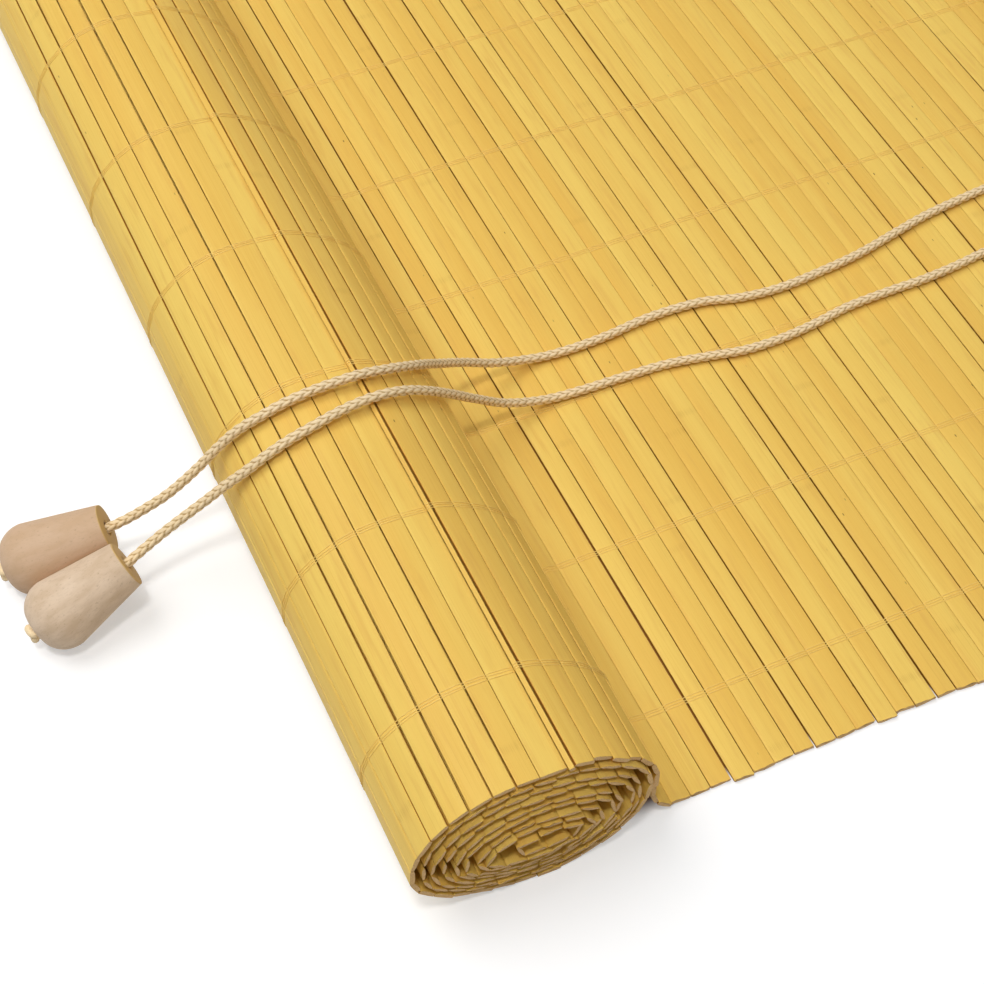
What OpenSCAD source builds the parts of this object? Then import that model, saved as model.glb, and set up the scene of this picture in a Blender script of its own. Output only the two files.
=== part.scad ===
// Bamboo roll up blind, lying face up: most of the slat mat is rolled, the rest lies flat
// up to the head rail. X runs along the slats, Y from the roll to the head rail, Z up.
// The origin is on the resting plane, under the middle of the blind.

/* [Mat] */
// Length of the bamboo slats
blind_w = 600; // [450:10:900]
// Distance from one slat to the next
slat_pitch = 7; // [6.6:0.1:7.6]
// Thickness of a slat
slat_t = 1.5; // [1.2:0.1:1.8]
// Width of the bevel along each edge of a slat's face
slat_bevel = 0.6; // [0.55:0.05:0.7]
// Width of the bevel along each edge of a slat's back
slat_relief = 0.9; // [0.8:0.05:1.2]
// Thickness left between two slats
web_t = 0.5; // [0.3:0.05:0.7]
// Width of the see-through gaps between flat slats
gap_w = 0.3; // [0.2:0.05:0.5]
// Slats in the flat stretch, with those under the head rail
flat_slats = 52; // [50:1:70]

/* [Sewing] */
// Distance from a slat's end to the nearest sewn row
row_margin = 30; // [20:1:40]
// Width of a sewn row
row_w = 2.6; // [2:0.1:4]
// Height of the sewing thread on the slats
row_t = 0.3; // [0.2:0.05:0.4]
// Slats of the outer turn that the rows are modelled on
row_reach = 13; // [4:1:15]

/* [Roll] */
// Width of the roll
roll_w = 77.5; // [74:0.5:90]
// Height of the roll
roll_h = 57.5; // [56:0.5:70]
// Each turn is this much narrower than the one around it, on each side
turn_in_w = 3.5; // [3.2:0.05:3.6]
// Each turn is this much lower than the one around it, above and below
turn_in_h = 3.4; // [3.3:0.05:3.6]
// The middle of each turn lies this much under that of the one around it
turn_sink = 0.8; // [0:0.05:0.8]
// Least width of the hollow in the middle of the roll
core_w = 26.5; // [26:0.5:50]
// Least height of the hollow in the middle of the roll
core_h = 8; // [8:0.5:40]
// Share of a turn from the roll's right side up to the fold in its outer sheet
fold_at = 0.19; // [0.18:0.01:0.22]
// How far the roll's top leans back from its middle, and its underside forward
roll_lean = 7; // [0:0.5:9]
// How far the climbing sheet stands off the top of the roll
sheet_lift = 3.3; // [3:0.1:3.8]
// Form of the climbing sheet: 1 is a round arch, more is flatter
sheet_slack = 1.25; // [1.15:0.05:1.3]
// Radius at which the mat turns up from the flat
foot_r = 14; // [12:0.5:16]
// How far the roll's end stands out past the flat stretch
roll_shift = 4; // [0:0.5:8]

/* [Head rail] */
// Width of the head rail
rail_w = 26; // [24:1:40]
// Thickness of the head rail
rail_t = 18; // [18:1:30]
// Radius of the rail's long edges
rail_edge_r = 2.5; // [1:0.5:4]
// How far the rail stands past the end of the mat
rail_past = 1; // [0:0.5:4]
// Number of tacks that hold the mat on the rail
tack_count = 7; // [4:1:12]
// Diameter of a tack's shank
tack_d = 1.2; // [0.8:0.1:1.6]
// Diameter of a tack's head
tack_head_d = 3; // [2.4:0.1:4]
// Thickness of a tack's head
tack_head_t = 0.5; // [0.3:0.05:0.7]
// Length of a tack
tack_l = 12; // [8:0.5:16]

/* [Hangers] */
// Distance from each end of the rail to a hanger
hanger_inset = 50; // [30:5:150]
// Width of a hanger plate
hanger_w = 16; // [14:0.5:24]
// Thickness of a hanger plate
hanger_t = 1.5; // [1:0.1:3]
// How far a hanger plate reaches past the rail
hanger_reach = 20; // [14:0.5:40]
// Diameter of the hole that hangs on the hook
hanger_hole_d = 6; // [4:0.5:8]

/* [Screws] */
// Diameter of a screw's shank
screw_d = 2.5; // [2:0.1:3]
// Diameter of a screw's head
screw_head_d = 5; // [4:0.1:6]
// Height of a screw's head
screw_head_h = 1.4; // [1:0.1:2]
// Length of a screw under its head
screw_l = 12; // [8:0.5:14]
// Width and depth of a screw's slot
screw_slot = 0.6; // [0.4:0.1:0.8]

/* [Pulley] */
// Place of the pulley along the rail
pulley_x = 124; // [100:1:140]
// Diameter of a sheave
sheave_d = 14; // [13:0.5:15]
// Diameter at the bottom of a sheave's groove
groove_d = 9; // [8:0.5:9.5]
// Width of a sheave
sheave_w = 5.2; // [5:0.1:5.4]
// Width of a sheave's groove at its bottom
groove_w = 4; // [3.9:0.1:4.1]
// Diameter of the axle
axle_d = 3; // [2.5:0.1:4]
// Thickness of the bracket's sheet
bracket_t = 1.2; // [1:0.1:1.3]
// Width of the bracket
bracket_w = 12; // [10:0.5:13]
// Thickness of the washer between the sheaves
washer_t = 0.6; // [0.5:0.1:0.7]
// Distance from the axle to the rail
axle_off = 13; // [12:0.5:14]

/* [Lift eyes] */
// Place of the near lift eye along the rail
eye_near_x = 100; // [94:1:106]
// Place of the far lift eye along the rail
eye_far_x = -160; // [-200:1:-100]
// Diameter of the hole in an eye
eye_hole_d = 5; // [4.6:0.1:5.2]
// Diameter of the eye's wire
eye_wire_d = 2; // [1.6:0.1:2]
// Length of the eye's shank inside the rail
eye_depth = 12; // [8:0.5:16]

/* [Cords] */
// Diameter of the pull cords
cord_d = 3.3; // [3:0.1:3.4]
// Diameter of the knot behind a lift eye
lift_knot_d = 8; // [7.6:0.1:9]
// Diameter of the knot under a bell
bell_knot_d = 6.2; // [5.8:0.1:6.4]

/* [Bells] */
// Length of a bell
bell_l = 34; // [33:0.5:40]
// Diameter at the cord's end
bell_top_d = 15.4; // [14:0.1:18]
// Largest diameter
bell_wide_d = 23; // [20:0.1:24]
// Length of the straight taper
bell_taper_l = 25; // [20:0.5:27]
// Diameter of the flat at the wide end
bell_flat_d = 7.6; // [7.4:0.1:12]
// Diameter of the cord's hole
bell_bore_d = 4.6; // [4.4:0.1:5]
// Diameter of the recess for the knot
bell_recess_d = 6.8; // [6.6:0.1:7.2]
// Depth of the recess for the knot
bell_recess_l = 1.5; // [1:0.1:2]

/* [Hidden] */
$fn = 48;

// Running clearance between sheave and axle, on the radius
run_gap = 0.05;
// Clearance between fixed pieces and their holes, on the radius
fit_gap = 0.05;
// Space beside a turning sheave
side_gap = 0.3;
// Clearance of screw shanks in sheet metal, on the radius
screw_gap = 0.2;
// Clearance between a cord and the bottom of its groove
groove_gap = 0.5;
// Height of the pulley bracket over the mat
bracket_gap = 0.7;
// Cutters run this far past the faces that they cut
past = 1;

// Sizes of the small forms
bracket_flange = 8;
axle_rim = 1.2;
axle_head_d = axle_d + 2 * axle_rim;
axle_head_h = 1;
washer_d = groove_d - 1;
rim_land = 0.6;
lift_knot_seat = 1.5;
bell_knot_seat = 2;
tack_slat = 1.5;
hanger_screw_at = [0.3, 0.7];

// Half axes of the spiral's first turn, on the middle of the slats
spiral_a = (roll_w - slat_t + turn_in_w / 2) / 2;
spiral_b = (roll_h - slat_t + turn_in_h - turn_sink / 2) / 2;
spiral_z = slat_t / 2 + spiral_b - (turn_in_h - turn_sink) * 3 / 4;
roll_turns = min((roll_w - core_w) / turn_in_w, (roll_h - core_h) / turn_in_h) / 2;

// Places along Y, from the roll's outer face to the tips of the hangers
flat_l = flat_slats * slat_pitch;
depth = roll_w + foot_r - slat_t / 2 + flat_l + rail_past + hanger_reach;
roll_y = -depth / 2 + spiral_a - turn_in_w / 2 + slat_t / 2;
foot_y = roll_y + spiral_a + foot_r;
mat_end = foot_y + flat_l;
rail_back = mat_end + rail_past;
rail_face = rail_back - rail_w;
rail_top = slat_t + rail_t;
axle_y = rail_face - axle_off;

// Places along X
flat_x0 = -(blind_w + roll_shift) / 2;
roll_x0 = flat_x0 + roll_shift;
hanger_x = [flat_x0 + hanger_inset, flat_x0 + blind_w - hanger_inset];
row_count = 10;
row_step = (blind_w - 2 * row_margin) / (row_count - 1);
function row_x(row) = flat_x0 + blind_w - row_margin - (row - 1) * row_step;

// Heights in the pulley, from the mat upward
bracket_z = slat_t + bracket_gap;
sheave_far_z = bracket_z + bracket_t + side_gap;
washer_z = sheave_far_z + sheave_w + side_gap / 2;
sheave_near_z = washer_z + washer_t + side_gap / 2;
bracket_top = sheave_near_z + sheave_w + side_gap + bracket_t;
cord_run_y = axle_y + groove_d / 2 + cord_d / 2 + groove_gap;
far_run_z = sheave_far_z + sheave_w / 2;
near_run_z = sheave_near_z + sheave_w / 2;
eye_r = eye_hole_d / 2 + eye_wire_d / 2;

// Places of the fasteners
tack_y = mat_end - tack_slat * slat_pitch;
hanger_screw_y = [for (share = hanger_screw_at) rail_face + rail_w * share];
bracket_screw_x = [for (side = [-1, 1]) pulley_x + side * (bracket_w + bracket_flange) / 2];
bracket_screw_z = (bracket_z + bracket_top) / 2;

// The bells rest on their wide ends, with their mouths held up by the cords
bell_far_at = [148.6, -273.3];
bell_far_turn = -99;
bell_far_dip = 17;
bell_near_at = [165.1, -272.4];
bell_near_turn = -83.5;
bell_near_dip = 21.5;

// Routes of the pull cords, from the knot at the lift eye to the knot in the bell
cord_far_route = [
    [99, 185.5, 6.3], [124, 185.5, 6.3], [127.3, 184.6, 6.3], [129.8, 182.2, 6.3],
    [130.7, 178.9, 6.3], [130.5, 166, 6], [128.5, 147, 4.8], [125.5, 125, 3.8],
    [122.5, 100, 3.6], [120.5, 67, 3.6], [121.5, 56, 3.6], [123.5, 40, 3.6],
    [127, 23.5, 3.6], [130, 9.5, 3.6], [132, -7, 3.6], [133, -28, 3.6],
    [131.5, -40, 3.6], [128, -52.5, 3.6], [127, -63, 3.6], [127, -75, 3.6],
    [128.5, -89, 3.6], [129, -102.5, 3.6], [128.5, -113, 3.7], [128.5, -123, 6],
    [130, -133, 11], [133.5, -145, 20.5], [141, -158, 34], [150.5, -171, 49.2],
    [154.5, -181, 56.4], [156, -190.5, 60], [156.2, -200, 60.4], [156.5, -208, 60.3],
    [156.5, -215.5, 59], [156, -223, 56], [154.5, -230, 51.3], [153, -236.5, 44.5],
    [152.3, -242, 38.5], [151.8, -248, 33], [151.4, -254, 28.5], [150.5, -260.5, 24.5],
    [149.5, -267, 21], [148.6, -273.3, 18.6], [143.9, -303.3, 9.4]];
cord_near_route = [
    [-161, 185.5, 12.4], [124, 185.5, 12.4], [127.3, 184.6, 12.4], [129.8, 182.2, 12.4],
    [130.7, 178.9, 12.4], [131.3, 166, 12], [134.5, 145, 9.5], [138.5, 122, 6],
    [142.5, 98, 3.8], [146, 70, 3.6], [147.5, 50, 3.6], [149, 38, 3.6],
    [150, 24, 3.6], [150, 9.5, 3.6], [150.5, -7, 3.6], [153, -24.5, 3.6],
    [154, -38.5, 3.6], [153.5, -50, 3.6], [151, -62.5, 3.6], [148.5, -76, 3.6],
    [147.5, -92, 3.6], [147, -108, 3.6], [146.5, -120, 4.2], [148, -135.5, 11],
    [152.5, -150, 25], [157.5, -160.5, 37.8], [161.8, -171.2, 49.4], [163.5, -178, 54.7],
    [165.5, -188, 59.4], [166.3, -195, 60.3], [167.3, -202, 60.4], [169, -211, 60],
    [169.5, -219.5, 57.8], [169.2, -226.2, 54.1], [168, -232.6, 48.6], [165.7, -239.2, 42],
    [164.3, -245, 36.5], [163.4, -251.2, 31.7], [163.2, -257.7, 27.6], [163.6, -263.5, 24.4],
    [164.2, -268, 22.2], [165.1, -272.4, 20.4], [168.4, -301.8, 8.8]];
cord_sides = 8;

function unit(v) = v / norm(v);
function outward(along) = [along[1], -along[0]];

// Point on the wound mat, after a number of turns from the roll's right side
function spiral_point(turns) =
    let (a = spiral_a - turns * turn_in_w, b = spiral_b - turns * turn_in_h,
         lean = roll_lean * a / spiral_a, across = cos(360 * turns), up = sin(360 * turns))
    [roll_y + a * across - lean * sign(up) * (1 - abs(across)), spiral_z - turns * turn_sink + b * up];

// Point on the sheet that falls from the roll's top to its right side
function sheet_point(turns) =
    let (across = cos(360 * turns), up = sin(360 * turns))
    [roll_y - roll_lean + (spiral_a + roll_lean) * sign(across) * pow(abs(across), sheet_slack),
     spiral_z + (spiral_b + sheet_lift) * pow(abs(up), sheet_slack)];

// Point on the climbing mat: q from 0 to 1 is the turn at its foot, to 2 the upright, then the sheet
foot_z = slat_t / 2 + foot_r;
function lead_point(q) =
    q < 1 ? [foot_y - foot_r * sin(90 * q), foot_z - foot_r * cos(90 * q)]
    : q < 2 ? [foot_y - foot_r, foot_z + (spiral_z - foot_z) * (q - 1)]
    : sheet_point(q - 2);

// Next place on a curve that is one slat away, found by halving
function next_place(curve, at, low, high, halvings = 26) =
    halvings == 0 ? low
    : let (middle = (low + high) / 2)
      norm(curve(middle) - curve(at)) < slat_pitch
      ? next_place(curve, at, middle, high, halvings - 1)
      : next_place(curve, at, low, middle, halvings - 1);
function places(curve, at, end) =
    let (next = next_place(curve, at, at, at + 0.5))
    next > end ? [at] : concat([at], places(curve, next, end));

// Joints between slats, on the middle of their thickness
flat_joints = [for (i = [0 : flat_slats]) [mat_end - i * slat_pitch, slat_t / 2]];
lead_places = places(function (q) lead_point(q), 0, 2 + fold_at);
lead_slats = len(lead_places) - 1;
// The narrow slat that stands on edge leads from the sheet down to the roll
edge_slat_lean = 0.024;
spiral_start = lead_places[lead_slats] - 2 + edge_slat_lean;
spiral_places = places(function (turns) spiral_point(turns), spiral_start, roll_turns);
roll_joints = concat([for (q = lead_places) lead_point(q)],
                     [for (turns = spiral_places) spiral_point(turns)]);

// Corners of the bevelled slats on one side of the mat: side is 1 outside, -1 inside
function slat_dir(joints, i) = unit(joints[i + 1] - joints[i]);
function slat_corners(joints, i, side, height) =
    let (along = slat_dir(joints, i), out = side * height * outward(along),
         bevel = side > 0 ? slat_bevel : slat_relief)
    [joints[i] + along * bevel + out, joints[i + 1] - along * bevel + out];
function joint_out(joints, i, last) =
    i == 0 || i == last ? [0, 1]
    : unit(outward(slat_dir(joints, i - 1)) + outward(slat_dir(joints, i)));
function mat_side(joints, side, last_out) =
    let (last = len(joints) - 1)
    [for (i = [0 : last])
        let (out = i == last ? last_out : joint_out(joints, i, last))
        each concat([joints[i] + side * out * web_t / 2],
                    i == last ? [] : slat_corners(joints, i, side, slat_t / 2))];
function reversed(list) = [for (i = [len(list) - 1 : -1 : 0]) list[i]];

// Cross section of the mat along a chain of joints, swept along the slats
module mat_sweep(joints, last_out, length) {
    rotate([90, 0, 90])
        linear_extrude(length)
            polygon(concat(mat_side(joints, 1, last_out), reversed(mat_side(joints, -1, last_out))));
}

module mat_flat() {
    first_gap = ceil(rail_w / slat_pitch) + 1;
    gap_l = blind_w / 2 - row_margin - row_w;
    color("goldenrod")
        difference() {
            translate([flat_x0, 0, 0])
                mat_sweep(flat_joints, [0, 1], blind_w);
            for (i = [first_gap : flat_slats - 1], half = [0, 1])
                translate([flat_x0 + row_margin + half * (gap_l + 2 * row_w),
                           mat_end - i * slat_pitch - gap_w / 2, -past])
                    cube([gap_l, gap_w, slat_t + 2 * past]);
            at_tacks()
                tack_hole();
        }
}

module mat_roll() {
    last = len(roll_joints) - 1;
    color("goldenrod")
        translate([roll_x0, 0, 0])
            mat_sweep(roll_joints, outward(slat_dir(roll_joints, last - 1)), blind_w);
}

// Sewing thread over the flat stretch, the climbing sheet and the outer turn
module thread_row(row) {
    seat = concat([[rail_face, slat_t], [foot_y + slat_bevel, slat_t]],
                  [for (i = [0 : lead_slats + row_reach])
                      each slat_corners(roll_joints, i, 1, slat_t / 2)]);
    top = concat([[rail_face, slat_t + row_t], [foot_y + slat_bevel, slat_t + row_t]],
                 [for (i = [0 : lead_slats + row_reach])
                     each slat_corners(roll_joints, i, 1, slat_t / 2 + row_t)]);
    color("khaki")
        translate([row_x(row) - row_w / 2, 0, 0])
            rotate([90, 0, 90])
                linear_extrude(row_w)
                    polygon(concat(top, reversed(seat)));
}

module head_rail() {
    color("burlywood")
        difference() {
            translate([flat_x0, rail_face, slat_t])
                rotate([90, 0, 90])
                    linear_extrude(blind_w)
                        rounded_rect(rail_w, rail_t, rail_edge_r);
            at_tacks()
                tack_hole();
            at_hanger_screws()
                pilot_hole();
            at_bracket_screws()
                pilot_hole();
            for (x = [eye_near_x, eye_far_x])
                translate([x, rail_face, x == eye_near_x ? far_run_z : near_run_z])
                    rotate([-90, 0, 0])
                        translate([0, 0, -past])
                            cylinder(d = eye_wire_d + 2 * fit_gap, h = eye_depth + fit_gap + past);
        }
}

module rounded_rect(w, h, r) {
    translate([r, 0])
        square([w - 2 * r, h]);
    translate([0, r])
        square([w, h - 2 * r]);
    for (x = [r, w - r], y = [r, h - r])
        translate([x, y])
            circle(r);
}

// Tacks are driven from the mat's back, with their heads let into a slat
module at_tacks() {
    tack_step = (blind_w - 2 * row_margin) / (tack_count - 1);
    for (i = [0 : tack_count - 1])
        translate([flat_x0 + row_margin + i * tack_step, tack_y, 0])
            children();
}

module tack_hole() {
    translate([0, 0, -past])
        cylinder(d = tack_head_d + 2 * fit_gap, h = tack_head_t + past);
    cylinder(d = tack_d + 2 * fit_gap, h = tack_l + fit_gap);
}

module mat_tacks() {
    color("silver")
        at_tacks() {
            cylinder(d = tack_head_d, h = tack_head_t);
            cylinder(d = tack_d, h = tack_l);
        }
}

// Slotted screw, its head on the plane z = 0 and its shank below
module screw() {
    difference() {
        cylinder(d = screw_head_d, h = screw_head_h);
        translate([-screw_head_d / 2 - past, -screw_slot / 2, screw_head_h - screw_slot])
            cube([screw_head_d + 2 * past, screw_slot, screw_slot + past]);
    }
    translate([0, 0, -screw_l])
        cylinder(d = screw_d, h = screw_l);
}

module pilot_hole() {
    translate([0, 0, -screw_l - fit_gap])
        cylinder(d = screw_d + 2 * fit_gap, h = screw_l + fit_gap + past);
}

module at_hanger_screws() {
    for (x = hanger_x, y = hanger_screw_y)
        translate([x, y, rail_top + hanger_t])
            children();
}

module at_bracket_screws() {
    for (x = bracket_screw_x)
        translate([x, rail_face - bracket_t, bracket_screw_z])
            rotate([90, 0, 0])
                children();
}

// Steel plate screwed on the rail, with a round end and the hole for the hook
module hanger(x) {
    hole_y = rail_back + hanger_reach - hanger_w / 2;
    start_y = rail_face + rail_edge_r;
    color("silver")
        difference() {
            translate([x, 0, rail_top]) {
                translate([-hanger_w / 2, start_y, 0])
                    cube([hanger_w, hole_y - start_y, hanger_t]);
                translate([0, hole_y, 0])
                    cylinder(d = hanger_w, h = hanger_t);
            }
            translate([x, hole_y, rail_top - past])
                cylinder(d = hanger_hole_d, h = hanger_t + 2 * past);
            at_hanger_screws()
                translate([0, 0, -hanger_t - past])
                    cylinder(d = screw_d + 2 * screw_gap, h = hanger_t + 2 * past);
        }
}

module hanger_screws() {
    color("gainsboro")
        at_hanger_screws()
            screw();
}

// Two ears for the axle, joined by a plate on the rail with a flange at each side
module pulley_bracket() {
    color("silver")
        difference() {
            union() {
                for (z = [bracket_z, bracket_top - bracket_t]) {
                    translate([pulley_x - bracket_w / 2, axle_y, z])
                        cube([bracket_w, axle_off, bracket_t]);
                    translate([pulley_x, axle_y, z])
                        cylinder(d = bracket_w, h = bracket_t);
                }
                translate([pulley_x - bracket_w / 2 - bracket_flange, rail_face - bracket_t, bracket_z])
                    cube([bracket_w + 2 * bracket_flange, bracket_t, bracket_top - bracket_z]);
            }
            translate([pulley_x, axle_y, bracket_z - past])
                cylinder(d = axle_d + 2 * fit_gap, h = bracket_top - bracket_z + 2 * past);
            at_bracket_screws()
                translate([0, 0, -bracket_t - past])
                    cylinder(d = screw_d + 2 * screw_gap, h = bracket_t + 2 * past);
        }
}

module bracket_screws() {
    color("gainsboro")
        at_bracket_screws()
            screw();
}

// Rivet that carries both sheaves, with a head on the upper ear
module axle() {
    color("gainsboro")
        translate([pulley_x, axle_y, bracket_z]) {
            cylinder(d = axle_d, h = bracket_top - bracket_z);
            translate([0, 0, bracket_top - bracket_z])
                cylinder(d = axle_head_d, h = axle_head_h);
        }
}

module axle_washer() {
    color("gainsboro")
        translate([pulley_x, axle_y, washer_z])
            difference() {
                cylinder(d = washer_d, h = washer_t);
                translate([0, 0, -past])
                    cylinder(d = axle_d + 2 * run_gap, h = washer_t + 2 * past);
            }
}

// Grooved wheel turned about the axle
module sheave(z) {
    rim = (sheave_w - groove_w) / 2;
    rim_edge = rim * rim_land;
    bore_r = axle_d / 2 + run_gap;
    color("ivory")
        translate([pulley_x, axle_y, z])
            rotate_extrude()
                polygon([[bore_r, 0], [sheave_d / 2, 0], [sheave_d / 2, rim_edge], [groove_d / 2, rim],
                         [groove_d / 2, sheave_w - rim], [sheave_d / 2, sheave_w - rim_edge],
                         [sheave_d / 2, sheave_w], [bore_r, sheave_w]]);
}

// Ring of wire with a shank in the rail; the cord runs through the ring along X
module lift_eye(x, z) {
    neck = rail_face - cord_run_y - eye_r;
    color("silver")
        translate([x, cord_run_y, z]) {
            rotate([0, 90, 0])
                rotate_extrude()
                    translate([eye_r, 0])
                        circle(d = eye_wire_d);
            translate([0, eye_r, 0])
                rotate([-90, 0, 0])
                    cylinder(d = eye_wire_d, h = neck + eye_depth);
        }
}

// Knot with a flat side where it pulls against its seat, on the plane z = 0
module knot(d, seat) {
    color("wheat")
        difference() {
            translate([0, 0, seat])
                sphere(d = d);
            translate([-d, -d, -2 * d])
                cube(2 * d);
        }
}

module lift_knot(x, z) {
    translate([x - eye_wire_d / 2, cord_run_y, z])
        rotate([0, -90, 0])
            knot(lift_knot_d, lift_knot_seat);
}

// Round point of the swept tube: a circle of points across the route
function ring(at, along, d) =
    let (side = unit(cross([0, 0, 1], along)), up = cross(along, side))
    [for (i = [0 : cord_sides - 1])
        let (angle = 360 * i / cord_sides) at + d / 2 * (cos(angle) * side + sin(angle) * up)];

// One closed tube along a route
module tube(route, d) {
    last = len(route) - 1;
    rings = [for (i = [0 : last])
                each ring(route[i], unit(route[min(i + 1, last)] - route[max(i - 1, 0)]), d)];
    walls = [for (i = [0 : last - 1], k = [0 : cord_sides - 1])
                let (next = (k + 1) % cord_sides)
                each [[i * cord_sides + k, (i + 1) * cord_sides + k, (i + 1) * cord_sides + next],
                      [i * cord_sides + k, (i + 1) * cord_sides + next, i * cord_sides + next]]];
    start = [for (k = [0 : cord_sides - 1]) k];
    end = [for (k = [cord_sides - 1 : -1 : 0]) last * cord_sides + k];
    color("wheat")
        polyhedron(rings, concat(walls, [start, end]), convexity = 10);
}

// Outline of a bell, radius and distance from its mouth: straight taper, then a round shoulder
bell_shoulder_steps = 7;
bell_outline = concat(
    [[bell_top_d / 2, 0]],
    [for (i = [0 : bell_shoulder_steps])
        let (angle = 90 * i / bell_shoulder_steps)
        [bell_flat_d / 2 + (bell_wide_d - bell_flat_d) / 2 * cos(angle),
         bell_taper_l + (bell_l - bell_taper_l) * sin(angle)]]);

// Turned wooden bell, its mouth on the plane z = 0
module bell_form() {
    color("tan")
        difference() {
            rotate_extrude()
                polygon(concat([[0, 0]], bell_outline, [[0, bell_l]]));
            translate([0, 0, -past])
                cylinder(d = bell_bore_d, h = bell_l + 2 * past);
            translate([0, 0, bell_l - bell_recess_l])
                cylinder(d = bell_recess_d, h = bell_recess_l + past);
        }
}

// The mouth is as high as it takes for the outline's lowest point to touch the ground
module at_bell(at, turn, dip) {
    mouth_z = max([for (point = bell_outline) point[0] * cos(dip) + point[1] * sin(dip)]);
    translate([at[0], at[1], mouth_z])
        rotate([0, 90 + dip, turn])
            children();
}

module bell_knot() {
    translate([0, 0, bell_l - bell_recess_l])
        knot(bell_knot_d, bell_knot_seat);
}

module at_bell_far() { at_bell(bell_far_at, bell_far_turn, bell_far_dip) children(); }
module at_bell_near() { at_bell(bell_near_at, bell_near_turn, bell_near_dip) children(); }

mat_flat();
mat_roll();
thread_row(1);  // thread_row_1
thread_row(2);  // thread_row_2
thread_row(3);  // thread_row_3
thread_row(4);  // thread_row_4
thread_row(5);  // thread_row_5
thread_row(6);  // thread_row_6
thread_row(7);  // thread_row_7
thread_row(8);  // thread_row_8
thread_row(9);  // thread_row_9
thread_row(10);  // thread_row_10
head_rail();
mat_tacks();
hanger(hanger_x[1]);  // hanger_near
hanger(hanger_x[0]);  // hanger_far
hanger_screws();
pulley_bracket();
bracket_screws();
axle();
axle_washer();
sheave(sheave_far_z);  // sheave_far
sheave(sheave_near_z);  // sheave_near
lift_eye(eye_near_x, far_run_z);  // lift_eye_near
lift_eye(eye_far_x, near_run_z);  // lift_eye_far
lift_knot(eye_near_x, far_run_z);  // lift_knot_near
lift_knot(eye_far_x, near_run_z);  // lift_knot_far
tube(cord_far_route, cord_d);  // cord_far
tube(cord_near_route, cord_d);  // cord_near
at_bell_far() bell_form();  // bell_far
at_bell_near() bell_form();  // bell_near
at_bell_far() bell_knot();  // bell_knot_far
at_bell_near() bell_knot();  // bell_knot_near
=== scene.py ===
import math

import bmesh
import bpy
import numpy as np
from mathutils import Matrix, Vector


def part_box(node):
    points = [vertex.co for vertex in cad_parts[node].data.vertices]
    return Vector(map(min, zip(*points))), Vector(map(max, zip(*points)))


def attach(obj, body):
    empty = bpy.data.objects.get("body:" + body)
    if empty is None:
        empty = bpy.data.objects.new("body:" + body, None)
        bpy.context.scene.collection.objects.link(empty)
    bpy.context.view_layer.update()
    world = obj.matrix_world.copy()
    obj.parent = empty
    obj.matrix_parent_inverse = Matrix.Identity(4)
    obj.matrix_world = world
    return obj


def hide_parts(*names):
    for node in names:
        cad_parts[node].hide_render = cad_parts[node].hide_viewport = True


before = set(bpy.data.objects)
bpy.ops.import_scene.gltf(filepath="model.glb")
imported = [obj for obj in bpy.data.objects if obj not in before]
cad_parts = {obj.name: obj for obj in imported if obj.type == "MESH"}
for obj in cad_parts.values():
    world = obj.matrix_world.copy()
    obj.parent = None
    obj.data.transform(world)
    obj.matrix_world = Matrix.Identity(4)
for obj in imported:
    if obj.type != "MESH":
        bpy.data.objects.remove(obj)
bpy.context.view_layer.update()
bpy.context.scene.view_settings.view_transform = "Standard"

# The view: a camera over the blind's near end, looking down on the roll and along the flat mat.
# It is turned a little about its own axis.
camera = bpy.data.objects.new("camera", bpy.data.cameras.new("camera"))
camera.data.sensor_width = 36
camera.data.lens = 77.51
camera.data.clip_start = 0.01
camera_place = Vector((0.54881, -0.33339, 0.54587))
camera_azimuth = 64.446
camera_elevation = 52.532
camera_roll = 1.184
camera.matrix_world = (
    Matrix.Translation(camera_place)
    @ Matrix.Rotation(math.radians(camera_azimuth), 4, "Z")
    @ Matrix.Rotation(math.radians(90 - camera_elevation), 4, "X")
    @ Matrix.Rotation(math.radians(camera_roll), 4, "Z")
)
bpy.context.collection.objects.link(camera)
bpy.context.scene.camera = camera

# The studio: one broad soft lamp high behind the roll, a small one in front that draws the shadows
# between the turns, and a weak one opposite.
studio_aim = Vector((0.1, -0.1, 0))


def add_lamp(name, place, width, watts):
    lamp = bpy.data.objects.new(name, bpy.data.lights.new(name, "AREA"))
    lamp.data.shape = "DISK"
    lamp.data.size = width
    lamp.data.energy = watts
    lamp.location = place
    lamp.rotation_euler = (Vector(place) - studio_aim).to_track_quat("Z", "Y").to_euler()
    bpy.context.collection.objects.link(lamp)


add_lamp("key_lamp", (-0.5, -1.0, 2.2), width=1.8, watts=33)
add_lamp("front_lamp", (0.8, -0.6, 2.2), width=0.3, watts=17)
add_lamp("fill_lamp", (1.3, 0.9, 1.4), width=1.6, watts=2)


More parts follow.
